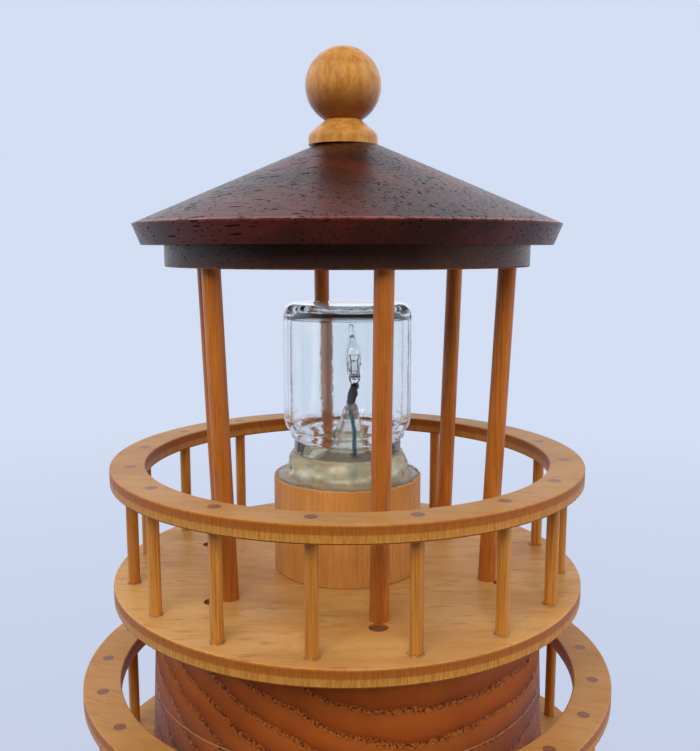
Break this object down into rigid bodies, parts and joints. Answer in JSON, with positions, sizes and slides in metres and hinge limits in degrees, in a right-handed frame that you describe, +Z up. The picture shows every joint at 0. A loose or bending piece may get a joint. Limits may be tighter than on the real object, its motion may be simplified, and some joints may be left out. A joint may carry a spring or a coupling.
{
  "type": "model lighthouse lamp",
  "caption": "Turned wooden model lighthouse with railed plywood galleries and a small bulb under an upturned glass jar, below a roof on posts that lifts off.",
  "frame": {"origin": "middle of the underside of the base felt", "axes": "+Z up along the tower, front towards -Y, cord inlet at the back towards +Y"},
  "size_m": [0.332, 0.332, 0.7186],
  "materials": {
    "tower_wood": "clear varnish over open-pored orange-brown wood",
    "plywood": "clear varnish over light golden plywood",
    "baluster_wood": "clear varnish over light dowel",
    "post_wood": "clear varnish over orange-brown dowel",
    "roof_wood": "satin varnish over dark open-pored wood",
    "finial_wood": "clear varnish over mottled maple",
    "pedestal_wood": "thin varnish over close-grained wood",
    "plinth_wood": "clear varnish over orange-brown wood",
    "jar_glass": "clear glass",
    "bulb_glass": "clear thin glass",
    "clear_glue": "milky translucent hot glue",
    "lead_wire": "dull drawn wire",
    "sleeve": "black heat-shrink sleeve",
    "wire_insulation": "teal insulation",
    "felt": "dark green felt",
    "rubber": "matt black rubber"
  },
  "bodies": {
    "tower": {"base_felt": "felt", "base_plinth": "plinth_wood", "bulb_filament": "lead_wire", "bulb_glass": "bulb_glass", "bulb_sleeve": "sleeve", "cord_grommet": "rubber", "glass_jar": "jar_glass", "jar_glue": "clear_glue", "lamp_pedestal": "pedestal_wood", "lamp_wires": "wire_insulation", "lower_balusters": "baluster_wood", "lower_deck": "plywood", "lower_rail": "plywood", "tower_board_1": "tower_wood", "tower_board_2": "tower_wood", "tower_board_3": "tower_wood", "tower_board_4": "tower_wood", "tower_board_5": "tower_wood", "tower_board_6": "tower_wood", "tower_board_7": "tower_wood", "tower_board_8": "tower_wood", "upper_baluster_01": "baluster_wood", "upper_baluster_02": "baluster_wood", "upper_baluster_03": "baluster_wood", "upper_baluster_04": "baluster_wood", "upper_baluster_05": "baluster_wood", "upper_baluster_06": "baluster_wood", "upper_baluster_07": "baluster_wood", "upper_baluster_08": "baluster_wood", "upper_baluster_09": "baluster_wood", "upper_baluster_10": "baluster_wood", "upper_baluster_11": "baluster_wood", "upper_baluster_12": "baluster_wood", "upper_baluster_13": "baluster_wood", "upper_baluster_14": "baluster_wood", "upper_baluster_15": "baluster_wood", "upper_baluster_16": "baluster_wood", "upper_deck": "plywood", "upper_rail": "plywood", "wire_glue": "clear_glue"},
    "lantern_roof": {"finial": "finial_wood", "roof_cone": "roof_wood", "roof_plate": "roof_wood", "roof_post_1": "post_wood", "roof_post_2": "post_wood", "roof_post_3": "post_wood", "roof_post_4": "post_wood", "roof_post_5": "post_wood", "roof_post_6": "post_wood"}
  },
  "joints": [
    {"name": "roof_lift", "type": "slide", "parent": "tower", "child": "lantern_roof", "axis": [0, 0, 1], "range_m": [0, 0.16]}
  ]
}
